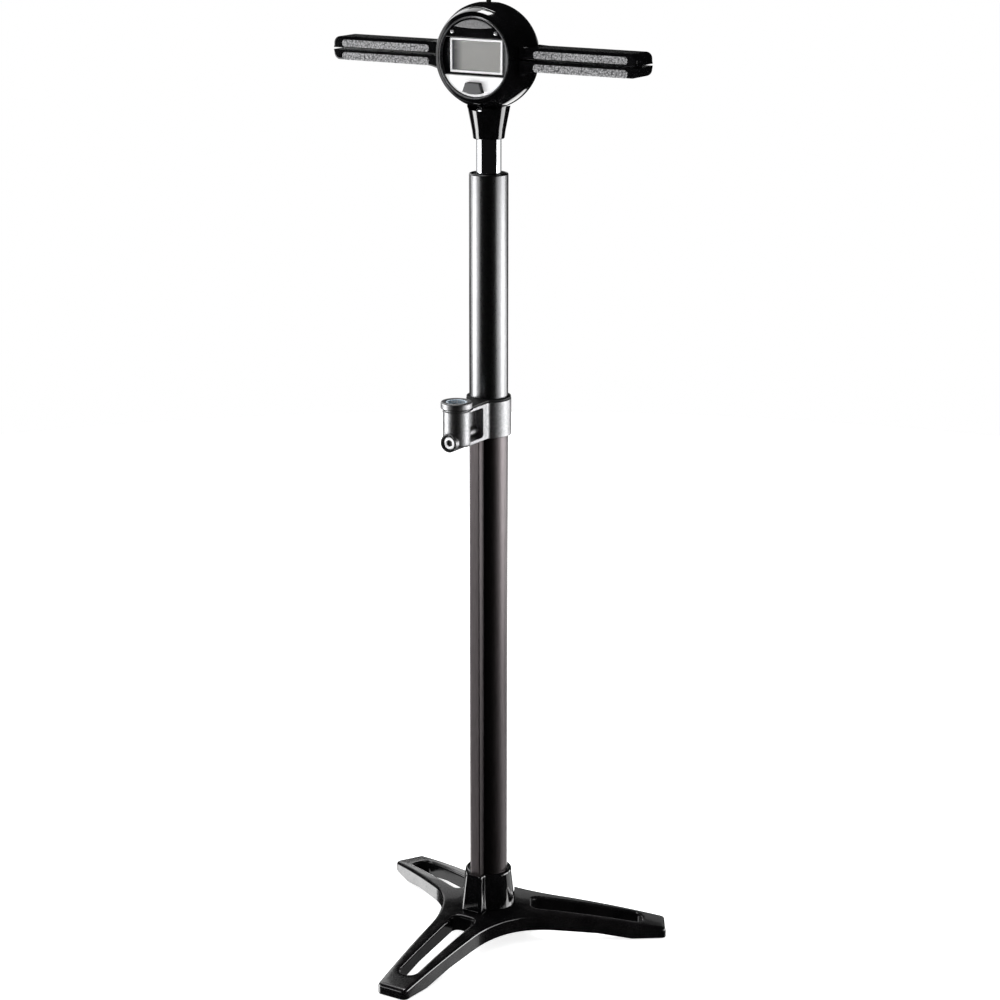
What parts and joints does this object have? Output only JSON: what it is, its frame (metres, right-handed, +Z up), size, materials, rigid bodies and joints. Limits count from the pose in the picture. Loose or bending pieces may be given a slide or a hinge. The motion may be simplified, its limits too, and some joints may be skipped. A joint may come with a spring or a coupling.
{
  "type": "floor bike pump",
  "caption": "Upright floor pump on a three-legged base, with a long two-piece barrel, a hose-port collar, a chrome rod and a T handle with a round digital gauge head.",
  "frame": {"origin": "middle of the floor area the pump covers, at floor level", "axes": "+Z up along the barrel, the gauge and the front leg face -Y, the handle runs along X"},
  "size_m": [0.265, 0.2274, 0.7522],
  "materials": {
    "base_paint": "gloss black paint",
    "rubber": "matte black rubber",
    "bright_steel": "bright plated steel",
    "machined_aluminium": "machined aluminium",
    "anodised_tube": "matte brown-grey anodised aluminium",
    "dark_satin_tube": "dark satin anodised aluminium",
    "cast_collar": "dark satin cast aluminium",
    "chrome_rod": "polished chrome",
    "guide_plastic": "plain moulded plastic",
    "gloss_black": "gloss black plastic",
    "trim_grey": "satin light grey",
    "black_plastic": "satin black plastic",
    "silver_plastic": "satin silver-white plastic",
    "lcd_screen": "grey liquid-crystal screen, switched off",
    "clear_window": "clear window",
    "board": "green circuit board",
    "grip_black": "satin black moulded grip",
    "grip_grey": "light grey granular grip"
  },
  "bodies": {
    "stand": {"base_casting": "base_paint", "foot_pad_front": "rubber", "foot_pad_right": "rubber", "foot_pad_left": "rubber", "base_bolt": "bright_steel", "base_socket": "base_paint", "barrel_gasket": "rubber", "foot_valve_body": "machined_aluminium", "foot_valve_spring": "bright_steel", "lower_barrel": "anodised_tube", "upper_barrel": "dark_satin_tube", "rod_guide_bush": "guide_plastic", "rod_wiper": "rubber", "collar_body": "cast_collar", "collar_cap": "rubber", "port_magnet": "bright_steel", "port_seal": "rubber", "port_plug_screw": "bright_steel", "port_plug_seal": "rubber"},
    "valve_ball": {"foot_valve_ball": "bright_steel"},
    "piston": {"piston_head": "guide_plastic", "piston_seal": "rubber", "piston_guide_ring": "guide_plastic", "piston_bumper": "rubber"},
    "plunger": {"piston_rod": "chrome_rod", "neck": "gloss_black", "storage_plug": "black_plastic", "head_body": "gloss_black", "head_bezel": "gloss_black", "bezel_trim_ring": "trim_grey", "head_rear_cover": "gloss_black", "rear_screw_1": "bright_steel", "rear_screw_2": "bright_steel", "rear_screw_3": "bright_steel", "rear_screw_4": "bright_steel", "face_panel": "gloss_black", "badge_plate": "trim_grey", "face_screw_left": "bright_steel", "face_screw_right": "bright_steel", "lower_plate": "silver_plastic", "display_tray": "gloss_black", "lcd_frame": "silver_plastic", "lcd_panel": "lcd_screen", "display_window": "clear_window", "mode_switch": "black_plastic", "circuit_board": "board", "pressure_sensor": "black_plastic", "battery": "bright_steel", "battery_cover": "black_plastic", "left_grip_upper": "grip_black", "left_grip_lower": "grip_black", "right_grip_upper": "grip_black", "right_grip_lower": "grip_black", "left_grip_insert_upper": "grip_grey", "left_grip_insert_lower": "grip_grey", "right_grip_insert_upper": "grip_grey", "right_grip_insert_lower": "grip_grey", "left_handle_core": "machined_aluminium", "right_handle_core": "machined_aluminium"},
    "mode_button": {"mode_button": "silver_plastic"}
  },
  "joints": [
    {"name": "pump_stroke", "type": "slide", "parent": "stand", "child": "piston", "axis": [0, 0, 1], "range_m": [0, 0.512]},
    {"name": "head_swivel", "type": "hinge", "parent": "piston", "child": "plunger", "pos_m": [0, 0.03105, 0.3], "axis": [0, 0, 1], "continuous": true},
    {"name": "mode_button_press", "type": "slide", "parent": "plunger", "child": "mode_button", "axis": [0, 1, 0], "range_m": [0, 0.0008], "stiffness_N_per_m": 800, "springref_m": -0.001},
    {"name": "foot_valve_lift", "type": "slide", "parent": "stand", "child": "valve_ball", "axis": [0, 0, -1], "range_m": [0, 0.0015], "stiffness_N_per_m": 300, "springref_m": -0.002, "deforming": ["foot_valve_spring"]}
  ]
}
